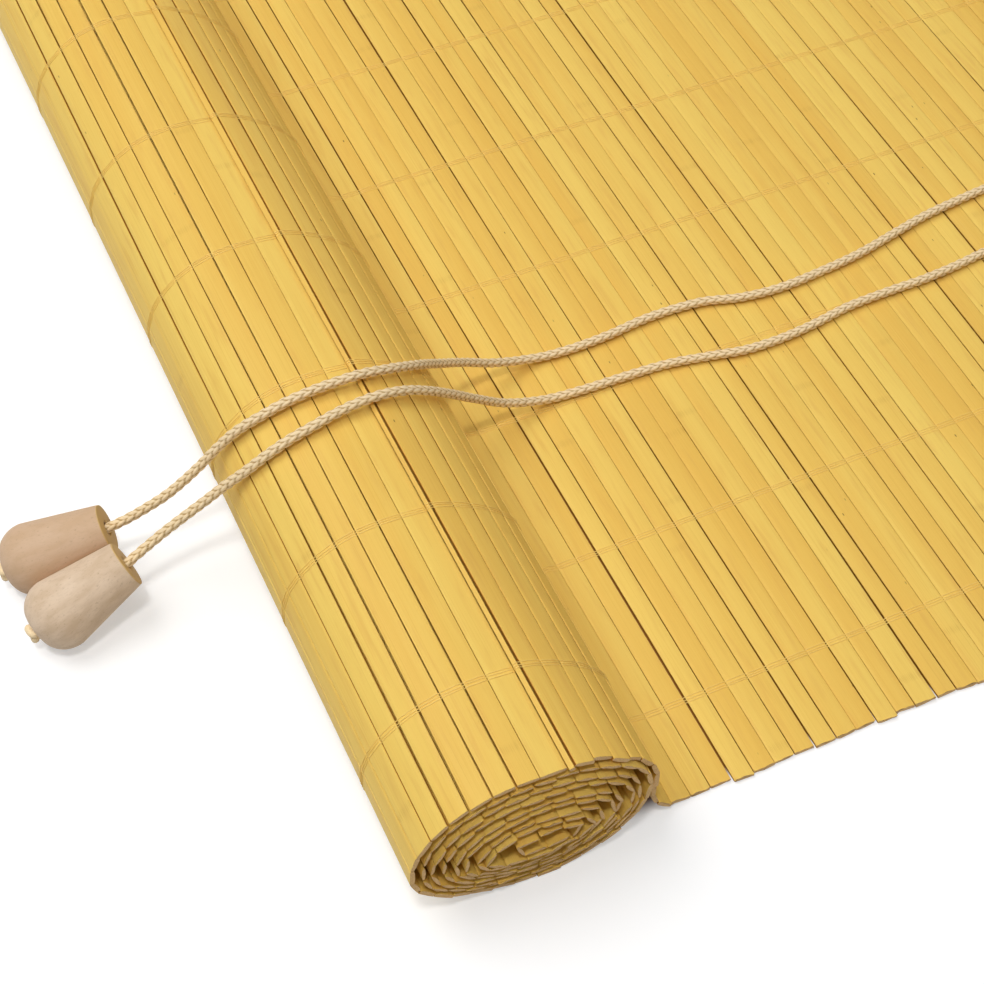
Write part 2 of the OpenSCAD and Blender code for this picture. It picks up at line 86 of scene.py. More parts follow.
# Room and floor: both white to the eye, and the room is brightest overhead. The floor still takes the
# blind's soft shadow, and under the mat it is painted brown, a painted shade that shows only through the
# seams.
class Tone:
    """One output of a node. Arithmetic on tones adds Math nodes to the same tree."""

    def __init__(self, tree, socket=None):
        self.tree = tree
        self.socket = socket

    def node(self, kind, settings={}, values={}, out=0):
        """Adds a node with its settings, then its sockets' values or links, and gives one of its outputs."""
        made = self.tree.nodes.new(kind)
        for name, setting in settings.items():
            setattr(made, name, setting)
        for name, value in values.items():
            if isinstance(value, Tone):
                self.tree.links.new(value.socket, made.inputs[name])
            else:
                made.inputs[name].default_value = value
        return Tone(self.tree, made.outputs[out] if made.outputs else None)

    def math(self, operation, *values):
        return self.node("ShaderNodeMath", {"operation": operation}, dict(enumerate(values)))

    def __add__(self, other):
        return self.math("ADD", self, other)

    def __sub__(self, other):
        return self.math("SUBTRACT", self, other)

    def __rsub__(self, other):
        return self.math("SUBTRACT", other, self)

    def __mul__(self, other):
        return self.math("MULTIPLY", self, other)

    __radd__ = __add__
    __rmul__ = __mul__

    def between(self, low, high):
        """0 where this tone is below low, 1 above high, and smooth in between."""
        return self.node("ShaderNodeMapRange", {"interpolation_type": "SMOOTHSTEP"},
                         {"Value": self, "From Min": low, "From Max": high})

    def mix(self, first, second):
        """The first colour where this tone is 0, the second where it is 1."""
        return self.node("ShaderNodeMix", {"data_type": "RGBA"}, {0: self, 6: first, 7: second}, out=2)

    def noise(self, place, detail=2.0, scale=1.0):
        sockets = {"Vector": place, "Scale": scale, "Detail": detail}
        return self.node("ShaderNodeTexNoise", {}, sockets, out="Fac")

    def bump(self, strength, depth=0.0001):
        """A surface normal that takes this tone as its height."""
        return self.node("ShaderNodeBump", {}, {"Strength": strength, "Distance": depth, "Height": self})

    def attribute(self, name, out="Vector"):
        return self.node("ShaderNodeAttribute", {"attribute_name": name}, out=out)

    def object_place(self):
        return self.node("ShaderNodeTexCoord", out="Object")

    def vector(self, x, y, z):
        return self.node("ShaderNodeCombineXYZ", {}, {0: x, 1: y, 2: z})

    def split(self):
        """The three parts of a vector."""
        parts = self.node("ShaderNodeSeparateXYZ", {}, {0: self})
        return [Tone(self.tree, part) for part in parts.socket.node.outputs]

    def seen_directly(self):
        """1 for the camera's own rays and for those that metal or glass passes on, 0 for soft light."""
        seen = self.node("ShaderNodeLightPath", out="Is Camera Ray")
        for ray in ("Is Glossy Ray", "Is Transmission Ray"):
            seen = self.math("MAXIMUM", seen, self.node("ShaderNodeLightPath", out=ray))
        return seen


def rgb(red, green, blue):
    """A colour as it is seen on screen, from 0 to 255, in the renderer's own linear values."""
    linear = [c / 3294.6 if c <= 10.3 else ((c / 255 + 0.055) / 1.055) ** 2.4 for c in (red, green, blue)]
    return (*linear, 1)


def grey(level):
    return (level, level, level, 1)


room = bpy.data.worlds.new("room")
bpy.context.scene.world = room
room.use_nodes = True
room.node_tree.nodes.clear()
air = Tone(room.node_tree)
low_light, high_light = 0.04, 0.32
room_up = air.node("ShaderNodeTexCoord", out="Generated").split()[2]
room_grey = room_up.between(0.0, 1.0).mix(grey(low_light), grey(high_light))
room_grey = air.seen_directly().mix(room_grey, grey(1))
room_air = air.node("ShaderNodeBackground", {}, {"Color": room_grey})
air.node("ShaderNodeOutputWorld", {}, {"Surface": room_air})


def new_finish(name):
    """An empty material, and the tone that its nodes start from."""
    material = bpy.data.materials.new(name)
    material.use_nodes = True
    material.node_tree.nodes.clear()
    return material, Tone(material.node_tree)


def set_surface(start, **values):
    """Joins a Principled surface with these values to the material's output."""
    sockets = {name.replace("_", " "): value for name, value in values.items()}
    surface = start.node("ShaderNodeBsdfPrincipled", {}, sockets)
    start.node("ShaderNodeOutputMaterial", {}, {"Surface": surface})


paper, ground = new_finish("paper")
mat_low, mat_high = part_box("mat_flat")
roll_overhang = 0.014
shade_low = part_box("mat_roll")[0][1] + roll_overhang
mat_shade = 0.006
near_glow = 0.4
glow_from, glow_to = 0.6, 2.4
floor_x, floor_y = ground.object_place().split()[:2]


def beside_mat(place, low, high):
    """1 beside the mat along one axis, 0 under it."""
    middle, half = (low + high) / 2, (high - low) / 2
    return ground.math("ABSOLUTE", place - middle).between(half - mat_shade, half)


bare = ground.math("MAXIMUM", beside_mat(floor_x, mat_low[0], mat_high[0]),
                   beside_mat(floor_y, shade_low, mat_high[1]))
floor_reach = ground.math("SQRT", floor_x * floor_x + floor_y * floor_y)
floor_glow = floor_reach.between(glow_from, glow_to).mix(grey(near_glow), grey(1))
# Painted shade: under the mat the floor's colour is a dark brown, and its glow is off there.
set_surface(ground, Base_Color=bare.mix(rgb(150, 98, 50), rgb(214, 214, 214)), Roughness=1.0,
            Specular_IOR_Level=0.0, Emission_Strength=1.0,
            Emission_Color=(ground.seen_directly() * bare).mix(grey(0), floor_glow))
floor_half = 6
floor_drop = 0.0002
floor_mesh = bpy.data.meshes.new("floor")
floor_mesh.from_pydata([(x * floor_half, y * floor_half, -floor_drop)
                        for x, y in ((-1, -1), (1, -1), (1, 1), (-1, 1))], [], [(0, 1, 2, 3)])
floor_mesh.materials.append(paper)
floor = bpy.data.objects.new("floor", floor_mesh)
bpy.context.collection.objects.link(floor)

# Bamboo slats: split from the culm, planed flat and left with their golden skin. Each is 7 mm wide
# with eased edges and a raw sawn end, and no two are quite as wide, straight or yellow.
MM = 0.001
slat_length = 600
slat_pitch = 7
slat_thick = 1.5
slat_stations = 22
slat_unevenness = 0.05
end_skew = 0.03
split_height = 0.45  # a slat's side shows split fibre up to this part of its half thickness
crease_angle = 42  # edges sharper than this aren't smoothed
shut_share, shut_width = 0.3, 0.08
least_open = 0.4
seam_wander, seam_waves = 0.16, 3
width_swing, swing_rate = 0.6, 1.3
least_gape, gape_reach, gape_span = 0.5, 50, (-220, 290)
# Points round a slat's section: the edge that each is measured from, how far in, and its height in half
# thicknesses. Slats in the flat and round the roll have square edges, those wound inside are thin lenses.
square_section = [
    ("start", 0.4, 0.97), ("start", 1.9, 1.0), ("middle", 0, 1.0), ("end", 1.9, 1.0),
    ("end", 0.4, 0.97), ("end", 0.08, 0.82), ("end", 0.0, 0.44), ("end", 0.02, -0.4),
    ("end", 0.35, -0.65), ("end", 1.5, -0.92), ("middle", 0, -1.0), ("start", 1.5, -0.92),
    ("start", 0.35, -0.65), ("start", 0.02, -0.4), ("start", 0.0, 0.44), ("start", 0.08, 0.82)]
lens_section = [
    ("start", 1.1, 0.56), ("start", 2.4, 0.74), ("middle", 0, 0.76), ("end", 2.4, 0.74),
    ("end", 1.1, 0.56), ("end", 0.3, 0.24), ("end", 0.0, 0.02), ("end", 0.4, -0.22),
    ("end", 1.2, -0.5), ("end", 2.3, -0.7), ("middle", 0, -0.76), ("start", 2.3, -0.7),
    ("start", 1.2, -0.5), ("start", 0.4, -0.22), ("start", 0.0, 0.02), ("start", 0.3, 0.24)]
slat_rng = np.random.default_rng(7)


class Seam:
    """The line between two slats: some are shut, most are a hair open, and a few gape for a stretch."""

    def __init__(self, widest, gape_share=0.0):
        shut = slat_rng.random() < shut_share
        self.width = shut_width if shut else widest * slat_rng.uniform(least_open, 1)
        gapes = slat_rng.random() < gape_share
        self.gape = slat_rng.uniform(least_gape, 1) if gapes else 0
        self.gape_x = slat_rng.uniform(*gape_span)
        self.offset = slat_rng.normal(0, seam_wander)
        self.sway = slat_rng.normal(0, seam_wander, seam_waves)
        self.phase = slat_rng.random(seam_waves + 1) * 2 * math.pi

    def edges(self, x):
        """How far each side of the seam lies from the joint, at stations x along it."""
        along = x / slat_length * 2 * math.pi
        waves = (self.sway[k] * np.sin((k + 1) / 2 * along + self.phase[k]) for k in range(seam_waves))
        wander = self.offset + sum(waves)
        half = self.width / 2 * (1 + width_swing * np.sin(swing_rate * along + self.phase[-1]))
        half = half + self.gape / 2 * np.exp(-(((x - self.gape_x) / gape_reach) ** 2))
        return wander - half, wander + half


class Slat:
    """One slat, lying from one joint of the mat to the next."""

    inward = {"start": 1, "end": -1, "middle": 0}

    def __init__(self, joint, next_joint, seam, next_seam, near_end, raggedness, section):
        joint, next_joint = np.array(joint), np.array(next_joint)
        self.joint = joint
        self.pitch = np.linalg.norm(next_joint - joint)
        self.across = (next_joint - joint) / self.pitch
        self.out = np.array((self.across[1], -self.across[0]))
        self.seam, self.next_seam = seam, next_seam
        self.raggedness = raggedness
        self.section = section
        self.near_end = near_end + slat_rng.normal(0, raggedness)
        self.far_end = near_end - slat_length + slat_rng.normal(0, raggedness)
        self.lift = slat_rng.normal(0, slat_unevenness)
        self.tone = slat_rng.random()

    def edge(self, side, x):
        if side == "start":
            return self.seam.edges(x)[1]
        if side == "end":
            return self.pitch + self.next_seam.edges(x)[0]
        return (self.edge("start", x) + self.edge("end", x)) / 2

    def place(self, x, side, inset, height):
        """Points on the slat's surface, at stations x along it."""
        inset = inset * (self.edge("end", x) - self.edge("start", x)) / slat_pitch
        across = self.edge(side, x) + self.inward[side] * inset
        height = height * slat_thick / 2 + self.lift
        y, z = self.joint[:, None] + self.across[:, None] * across + self.out[:, None] * height
        return np.stack([x + 0 * across, y, z], -1), across - self.pitch / 2


def add_piece(name, vertices, faces, finishes, replaced):
    """A mesh given in millimetres, riding on the blind in place of CAD nodes."""
    mesh = bpy.data.meshes.new(name)
    mesh.from_pydata((np.asarray(vertices) * MM).tolist(), [], faces)
    for finish in finishes:
        mesh.materials.append(finish)
    shape = bmesh.new()
    shape.from_mesh(mesh)
    bmesh.ops.recalc_face_normals(shape, faces=shape.faces)
    shape.to_mesh(mesh)
    shape.free()
    mesh.shade_smooth()
    mesh.set_sharp_from_angle(angle=math.radians(crease_angle))
    made = bpy.data.objects.new(name, mesh)
    bpy.context.collection.objects.link(made)
    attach(made, "blind")
    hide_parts(*replaced)
    return made


def set_attribute(piece, name, values):
    """A vector at each vertex, which a finish can read."""
    attribute = piece.data.attributes.new(name, "FLOAT_VECTOR", "POINT")
    attribute.data.foreach_set("vector", np.asarray(values, dtype=np.float32).ravel())


def add_slats(name, slats, replaced):
    """Slats side by side as one piece, with sawn ends and split edges in finishes of their own."""
    vertices, grain, faces, ends, sides = [], [], [], [], []
    count = len(square_section)
    for slat in slats:
        first = len(vertices) * count * (slat_stations + 1)
        x = np.linspace(slat.far_end, slat.near_end, slat_stations + 1)
        rows = [slat.place(x, *point) for point in slat.section]
        places = np.stack([row[0] for row in rows], 1)
        across = np.stack([row[1] for row in rows], 1)
        for end in (0, -1):
            skew = slat_rng.normal(0, end_skew) * across[end]
            places[end, :, 0] += skew + slat_rng.normal(0, slat.raggedness / 3, count)
        vertices.append(places.reshape(-1, 3))
        grain.append(np.stack([np.repeat(x[:, None] * MM, count, 1), across,
                               np.full_like(across, slat.tone)], -1).reshape(-1, 3))
        heights = [abs(height) for _, _, height in slat.section]
        for i in range(slat_stations):
            for k in range(count):
                after = (k + 1) % count
                a, b = first + i * count + k, first + i * count + after
                if slat.section is square_section and max(heights[k], heights[after]) < split_height:
                    sides.append(len(faces))
                faces.append((a, b, b + count, a + count))
        ends += [len(faces), len(faces) + 1]
        faces.append(tuple(range(first, first + count)))
        faces.append(tuple(range(first + slat_stations * count, first + (slat_stations + 1) * count)))
    finishes = [bamboo, sawn_bamboo, split_bamboo_seam_shade]
    made = add_piece(name, np.concatenate(vertices), faces, finishes, replaced)
    set_attribute(made, "grain", np.concatenate(grain))
    for slot, indices in ((1, ends), (2, sides)):
        for index in indices:
            made.data.polygons[index].material_index = slot


bamboo, skin = new_finish("bamboo")
along, across, tone = skin.attribute("grain").split()
drift = skin.noise(skin.vector(along * 9, across * 0.16, tone * 60))
fibre = skin.noise(skin.vector(along * 26, across * 5.5, tone * 60 + 9), detail=5.0)
cloud = skin.noise(skin.vector(along * 45, across * 0.45, tone * 60 + 31), detail=3.0)
hue = (tone * 0.55 + drift * 0.9 - 0.22).between(0.0, 1.0)
golden = hue.mix(rgb(238, 204, 105), rgb(230, 185, 87))
golden = (cloud.between(0.5, 0.78) * 0.55).mix(golden, rgb(222, 174, 86))
golden = (fibre.between(0.5, 0.75) * 0.32).mix(golden, rgb(208, 160, 68))
golden = ((1 - fibre).between(0.55, 0.78) * 0.32).mix(golden, rgb(243, 212, 116))
# A faint scar crosses a slat where the culm had a node
culm_node = skin.math("PINGPONG", along + tone * 5.3, 0.13)
scar = (1 - culm_node.between(0.0002, 0.0022)) * fibre.between(0.35, 0.65)
golden = (scar * 0.22).mix(golden, rgb(186, 138, 58))
speck_at = skin.vector(along * 70, across * 0.22, tone * 60)
specks = skin.node("ShaderNodeTexVoronoi", {}, {"Vector": speck_at, "Scale": 1.0}, out="Distance")
golden = ((1 - specks.between(0.025, 0.06)) * drift.between(0.5, 0.62)).mix(golden, rgb(120, 84, 40))
set_surface(skin, Base_Color=golden, Roughness=fibre * 0.22 + 0.4, Specular_IOR_Level=0.15,
            Normal=(fibre + scar).bump(0.22, depth=0.00012))

sawn_bamboo, sawn = new_finish("sawn_bamboo")
sawn_at = sawn.object_place()
sawn_pores = sawn.node("ShaderNodeTexVoronoi", {}, {"Vector": sawn_at, "Scale": 2600.0}, out="Distance")
sawn_tan = sawn.noise(sawn_at, scale=420.0).mix(rgb(236, 198, 142), rgb(214, 172, 114))
sawn_tan = (1 - sawn_pores.between(0.1, 0.4)).mix(sawn_tan, rgb(172, 130, 84))
set_surface(sawn, Base_Color=sawn_tan, Roughness=0.85, Specular_IOR_Level=0.2,
            Normal=sawn_pores.bump(0.4))

# The split sides: raw split fibre, a little browner than the skin, and darker still with painted shade for
# the depth of the seams.
split_bamboo_seam_shade, split = new_finish("split_bamboo_seam_shade")
split_along, split_across, split_tone = split.attribute("grain").split()
split_fibre = split.noise(split.vector(split_along * 40, split_across * 6, split_tone * 60), detail=3.0)
set_surface(split, Base_Color=split_fibre.mix(rgb(176, 116, 40), rgb(132, 80, 24)), Roughness=0.9,
            Specular_IOR_Level=0.15, Normal=split_fibre.bump(0.4))

# The flat stretch of the mat: slats side by side, from under the head rail to the foot of the roll.
# They lie loosely, so that some seams gape, and their sawn ends don't quite line up.
flat_widest_seam, flat_gape_share = 0.48, 0.08
flat_raggedness = 0.42


def node_corners(node):
    """The lowest and highest corners of a CAD node, in millimetres."""
    return [np.array(corner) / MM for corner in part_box(node)]


flat_low, flat_high = node_corners("mat_flat")
flat_near_end = flat_high[0]
flat_count = round((flat_high[1] - flat_low[1]) / slat_pitch)
flat_seams = [Seam(flat_widest_seam, flat_gape_share) for _ in range(flat_count + 1)]
flat_joints = [(flat_high[1] - i * slat_pitch, slat_thick / 2) for i in range(flat_count + 1)]
flat_slats = [Slat(flat_joints[i], flat_joints[i + 1], flat_seams[i], flat_seams[i + 1],
                   flat_near_end, flat_raggedness, square_section) for i in range(flat_count)]
add_slats("flat_slats", flat_slats, ["mat_flat"])

# The rolled part: the mat turns up from the flat, climbs over the top, folds at the slat that stands
# on edge, and winds inwards nine times. The roll is pressed oval, sags and leans, and each turn
# stands out a little past the one around it.
roll_near_end = node_corners("mat_roll")[1][0]
roll_width = 77.5
roll_height = 57.5
turn_in_width = 3.05
turn_in_height = 3.0
turn_sink = 0.4
turn_out = 0.42
turn_bunch = 0.45
bunch_rate = 0.43
core_width = 22
core_height = 3.6
fold_at = 0.19
roll_lean = 7
sheet_lift = 3.3
sheet_slack = 1.25
foot_radius = 14
fold_lean = 0.024
fold_overhang, fold_lift, fold_tone = 1.5, 0.5, 0.95
roll_widest_seam = 0.5
sheet_seams, sheet_least_seam = 5, 0.55
# The lowest tone on the climbing sheet's slats, which pushes them towards a painted warm shade.
sheet_least_shade_tone = 0.6
under_roll, under_widest_seam = 0.55, 0.1  # seams past this part of a turn are pressed shut
sheet_raggedness, outer_raggedness, inner_raggedness = 0.3, 0.12, 0.25
joint_reach, joint_halvings = 0.5, 26
oval_a = (roll_width - slat_thick + turn_in_width / 2) / 2
oval_b = (roll_height - slat_thick + turn_in_height - turn_sink / 2) / 2
oval_z = slat_thick / 2 + oval_b - (turn_in_height - turn_sink) * 3 / 4
roll_turns = min((roll_width - core_width) / turn_in_width, (roll_height - core_height) / turn_in_height) / 2
foot_y = flat_low[1]
foot_z = slat_thick / 2 + foot_radius
roll_y = foot_y - foot_radius - oval_a


def wound_point(turns):
    """Place on the winding, after a number of turns from the roll's right side."""
    bunch = turn_bunch * math.sin(2 * math.pi * bunch_rate * turns) * min(max(turns - 1, 0), 1)
    half_w, half_h = oval_a - turns * turn_in_width + bunch, oval_b - turns * turn_in_height + bunch
    across, up = math.cos(2 * math.pi * turns), math.sin(2 * math.pi * turns)
    lean = roll_lean * half_w / oval_a
    return np.array((roll_y + half_w * across - lean * np.sign(up) * (1 - abs(across)),
                     oval_z - turns * turn_sink + half_h * up))


def climb_point(q):
    """Place on the climbing mat: to 1 is the turn at its foot, to 2 the upright, then the sheet on top."""
    if q < 1:
        angle = math.pi / 2 * q
        return np.array((foot_y - foot_radius * math.sin(angle), foot_z - foot_radius * math.cos(angle)))
    if q < 2:
        return np.array((foot_y - foot_radius, foot_z + (oval_z - foot_z) * (q - 1)))
    across, up = math.cos(2 * math.pi * (q - 2)), math.sin(2 * math.pi * (q - 2))
    return np.array((roll_y - roll_lean + (oval_a + roll_lean) * np.sign(across) * abs(across) ** sheet_slack,
                     oval_z + (oval_b + sheet_lift) * abs(up) ** sheet_slack))


def joint_places(curve, at, end):
    """Places one slat apart along a curve, each found by halving."""
    found = []
    while at <= end:
        found.append(at)
        low, high = at, at + joint_reach
        for _ in range(joint_halvings):
            middle = (low + high) / 2
            if np.linalg.norm(curve(middle) - curve(at)) < slat_pitch:
                low = middle
            else:
                high = middle
        at = low
    return found


climb_places = joint_places(climb_point, 0, 2 + fold_at)
wound_places = joint_places(wound_point, climb_places[-1] - 2 + fold_lean, roll_turns)
roll_joints = [climb_point(q) for q in climb_places] + [wound_point(turns) for turns in wound_places]
roll_seams = [flat_seams[-1]] + [Seam(roll_widest_seam) for _ in roll_joints[1:]]
climb_slats = len(climb_places) - 1
fold_seam, edge_seam = roll_seams[climb_slats:climb_slats + 2]
fold_seam.width, fold_seam.offset = 0.3, 0.05
edge_seam.width, edge_seam.offset = 0.25, -0.95
for seam in roll_seams[climb_slats - sheet_seams:climb_slats]:
    seam.width = max(seam.width, sheet_least_seam)
for seam, turns in zip(roll_seams[climb_slats + 2:], wound_places[1:]):
    if turns % 1 > under_roll:
        seam.width = min(seam.width, under_widest_seam)
roll_slats = []
for i in range(len(roll_joints) - 1):
    climbed = min(i / climb_slats, 1)
    near_end = flat_near_end + (roll_near_end - flat_near_end) * climbed
    section = square_section
    raggedness = sheet_raggedness if i < climb_slats else outer_raggedness
    turns = wound_places[i - climb_slats - 1] if i > climb_slats else 0
    if i == climb_slats:
        near_end += fold_overhang
    elif turns > 1:
        near_end += turn_out * (turns - 1)
        section = lens_section
        raggedness = inner_raggedness
    roll_slats.append(Slat(roll_joints[i], roll_joints[i + 1], roll_seams[i], roll_seams[i + 1],
                           near_end, raggedness, section))
# The climbing sheet's slats take the warmer, more orange end of the tone range: painted warm shade from light
# bounced between the roll and the flat.
for slat in roll_slats[:climb_slats]:
    slat.tone = sheet_least_shade_tone + (1 - sheet_least_shade_tone) * slat.tone
roll_slats[climb_slats].lift = fold_lift
roll_slats[climb_slats].tone = fold_tone
add_slats("rolled_slats", roll_slats, ["mat_roll"])

# Sewing thread: at each of ten rows three fine straw-coloured threads run over the slats
# and dip into the seams between them, which holds the mat together.
thread_radius = 0.17
thread_sides = 5
thread_gap = 0.85
thread_rows = 10
thread_wander = 0.07
thread_course = [("start", 0.0, 0.7), ("start", 0.6, 1.1), ("end", 0.6, 1.1), ("end", 0.0, 0.7)]
sewn_wound_slats = 34
off_path = (0.31, 0.24, 0.92)  # a direction that no thread or cord starts along
thread_rng = np.random.default_rng(11)
straw, strand = new_finish("straw_thread")
straw_noise = strand.noise(strand.object_place(), scale=900.0)
set_surface(strand, Base_Color=straw_noise.mix(rgb(242, 209, 118), rgb(230, 190, 94)), Roughness=0.6,
            Normal=straw_noise.bump(0.3))


def ring_faces(rings, sides, closed):
    """Faces between rings of vertices, back to the first ring if closed."""
    faces = []
    for i in range(rings if closed else rings - 1):
        here, there = i * sides, (i + 1) % rings * sides
        for k in range(sides):
            after = (k + 1) % sides
            faces.append((here + k, here + after, there + after, there + k))
    return faces


def sweep(path, radius, sides, closed=False):
    """Vertices and faces of a tube along a path; the radius may differ for each ring and side."""
    path = np.asarray(path, float)
    count = len(path)
    ahead, behind = np.roll(path, -1, 0), np.roll(path, 1, 0)
    if not closed:
        ahead[-1], behind[0] = path[-1], path[0]
    tangents = ahead - behind
    tangents /= np.linalg.norm(tangents, axis=1, keepdims=True)
    side = np.cross(tangents[0], off_path)
    sides_of = np.zeros_like(path)
    for i, tangent in enumerate(tangents):
        side = side - tangent * side.dot(tangent)
        side /= np.linalg.norm(side)
        sides_of[i] = side
    ups = np.cross(tangents, sides_of)
    angles = np.arange(sides) * 2 * math.pi / sides
    ring = np.cos(angles)[None, :, None] * sides_of[:, None] + np.sin(angles)[None, :, None] * ups[:, None]
    radius = np.broadcast_to(np.asarray(radius, float), (count, sides))
    vertices = (path[:, None] + ring * radius[:, :, None]).reshape(-1, 3)
    faces = ring_faces(count, sides, closed)
    if not closed:
        faces += [tuple(range(sides)), tuple(range((count - 1) * sides, count * sides))]
    return vertices, faces


rail_low = node_corners("head_rail")[0]
rail_slats = math.ceil((flat_high[1] - rail_low[1]) / slat_pitch)
sewn_slats = flat_slats[rail_slats:] + roll_slats[:climb_slats + sewn_wound_slats]
for row in range(1, thread_rows + 1):
    row_low, row_high = node_corners(f"thread_row_{row}")
    row_x = (row_low[0] + row_high[0]) / 2
    row_vertices, row_faces = [], []
    for thread in (-1, 0, 1):
        path = []
        for slat in sewn_slats:
            x = np.array([row_x + thread * thread_gap + thread_rng.normal(0, thread_wander)])
            path += [slat.place(x, *point)[0][0] for point in thread_course]
        thread_vertices, thread_faces = sweep(path, thread_radius, thread_sides)
        row_faces += [tuple(index + len(row_vertices) for index in face) for face in thread_faces]
        row_vertices += thread_vertices.tolist()
    add_piece(f"sewn_row_{row}", row_vertices, row_faces, [straw], [f"thread_row_{row}"])

# Head rail: a planed softwood bar with eased edges, as long as the slats.
# The mat's last slats are tacked under it, and it carries the hangers and the pulley.
rail_wood, plank = new_finish("rail_wood")
plank_x, plank_y, plank_z = plank.object_place().split()
plank_grain = plank.noise(plank.vector(plank_x * 9, plank_y * 260, plank_z * 260), detail=4.0)
plank_pores = plank.noise(plank.vector(plank_x * 60, plank_y * 1900, plank_z * 1900), detail=3.0)
plank_tan = plank_grain.between(0.3, 0.7).mix(rgb(222, 186, 132), rgb(196, 152, 96))
plank_tan = (plank_pores.between(0.55, 0.75) * 0.5).mix(plank_tan, rgb(150, 106, 58))
set_surface(plank, Base_Color=plank_tan, Roughness=plank_grain * 0.2 + 0.45, Specular_IOR_Level=0.35,
            Normal=plank_pores.bump(0.2, depth=0.0002))


def refinish(finish, *nodes):
    """A new finish on CAD nodes whose shape stays."""
    for name in nodes:
        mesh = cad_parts[name].data
        mesh.materials.clear()
        mesh.materials.append(finish)


refinish(rail_wood, "head_rail")

# Tacks, hanger plates, screws, screw eyes and the pulley's bracket and rivet: galvanised steel.
# The plates and the bracket are pressed from sheet, and the rest is drawn.
steel, sheet_steel = new_finish("galvanised_steel")
steel_at = sheet_steel.object_place()
spangle = sheet_steel.node("ShaderNodeTexVoronoi", {}, {"Vector": steel_at, "Scale": 420.0}, out="Color")
scuffs = sheet_steel.noise(steel_at, detail=4.0, scale=700.0)
spangle_tone = sheet_steel.node("ShaderNodeSeparateColor", {}, {0: spangle})
set_surface(sheet_steel, Base_Color=spangle_tone.mix(rgb(196, 198, 198), rgb(164, 166, 168)), Metallic=1.0,
            Roughness=scuffs * 0.25 + 0.25, Normal=scuffs.bump(0.1))
refinish(steel, "mat_tacks", "hanger_near", "hanger_far", "hanger_screws", "pulley_bracket",
         "bracket_screws", "axle", "axle_washer", "lift_eye_near", "lift_eye_far")

# Sheaves: two grooved wheels of natural nylon, one above the other.
# They turn freely on the bracket's rivet.
nylon, wheel = new_finish("natural_nylon")
wheel_noise = wheel.noise(wheel.object_place(), scale=500.0)
set_surface(wheel, Base_Color=wheel_noise.mix(rgb(236, 231, 214), rgb(222, 214, 192)),
            Roughness=wheel_noise * 0.2 + 0.35, Normal=wheel_noise.bump(0.08))
refinish(nylon, "sheave_far", "sheave_near")

# Pull cords: cream cotton, braided in a herringbone. Each runs from its lift eye round a sheave,
# then lies over the flat slats and the roll and drops to its bell.
cord_diameter = 3.3
cord_sides = 24
cord_step = 0.45
stitch_length = 3.4
stitch_columns = 6
stitch_slant = 0.55
braid_depth = 0.4
stitch_crown, column_crown = 0.8, 0.6
path_stride = 4
cord_far_route = [
    (99, 185.5, 6.3), (124, 185.5, 6.3), (127.3, 184.6, 6.3), (129.8, 182.2, 6.3), (130.7, 178.9, 6.3),
    (130.5, 166, 6), (128.5, 147, 4.8), (125.5, 125, 3.8), (122.5, 100, 3.6), (120.5, 67, 3.6),
    (121.5, 56, 3.6), (123.5, 40, 3.6), (127, 23.5, 3.6), (130, 9.5, 3.6), (132, -7, 3.6),
    (133, -28, 3.6), (131.5, -40, 3.6), (128, -52.5, 3.6), (127, -63, 3.6), (127, -75, 3.6),
    (128.5, -89, 3.6), (129, -102.5, 3.6), (128.5, -113, 3.7), (128.5, -123, 6), (130, -133, 11),
    (133.5, -145, 20.5), (141, -158, 34), (150.5, -171, 49.2), (154.5, -181, 56.4), (156, -190.5, 60),
    (156.2, -200, 60.4), (156.5, -208, 60.3), (156.5, -215.5, 59), (156, -223, 56), (154.5, -230, 51.3),
    (153, -236.5, 44.5), (152.3, -242, 38.5), (151.8, -248, 33), (151.4, -254, 28.5), (150.5, -260.5, 24.5),
    (149.5, -267, 21), (148.6, -273.3, 18.6), (143.9, -303.3, 9.4)]
cord_near_route = [
    (-161, 185.5, 12.4), (124, 185.5, 12.4), (127.3, 184.6, 12.4), (129.8, 182.2, 12.4), (130.7, 178.9, 12.4),
    (131.3, 166, 12), (134.5, 145, 9.5), (138.5, 122, 6), (142.5, 98, 3.8), (146, 70, 3.6),
    (147.5, 50, 3.6), (149, 38, 3.6), (150, 24, 3.6), (150, 9.5, 3.6), (150.5, -7, 3.6),
    (153, -24.5, 3.6), (154, -38.5, 3.6), (153.5, -50, 3.6), (151, -62.5, 3.6), (148.5, -76, 3.6),
    (147.5, -92, 3.6), (147, -108, 3.6), (146.5, -120, 4.2), (148, -135.5, 11), (152.5, -150, 25),
    (157.5, -160.5, 37.8), (161.8, -171.2, 49.4), (163.5, -178, 54.7), (165.5, -188, 59.4),
    (166.3, -195, 60.3), (167.3, -202, 60.4), (169, -211, 60), (169.5, -219.5, 57.8), (169.2, -226.2, 54.1),
    (168, -232.6, 48.6), (165.7, -239.2, 42), (164.3, -245, 36.5), (163.4, -251.2, 31.7),
    (163.2, -257.7, 27.6), (163.6, -263.5, 24.4), (164.2, -268, 22.2), (165.1, -272.4, 20.4),
    (168.4, -301.8, 8.8)]

cotton, braid = new_finish("braided_cotton")
braid_height, braid_around, braid_along = braid.attribute("braid").split()
yarn = braid.noise(braid.vector(braid_around * 9, braid_along * 1.6, 0.0), detail=3.0)
# The valleys between stitches are painted darker: painted shade in the braid's grooves.
cream_with_groove_shade = braid_height.between(0.1, 0.6).mix(rgb(180, 144, 88), rgb(246, 222, 180))
cream_with_groove_shade = (yarn.between(0.5, 0.75) * 0.25).mix(cream_with_groove_shade, rgb(220, 190, 142))
set_surface(braid, Base_Color=cream_with_groove_shade, Roughness=0.8, Specular_IOR_Level=0.2,
            Normal=yarn.bump(0.3))


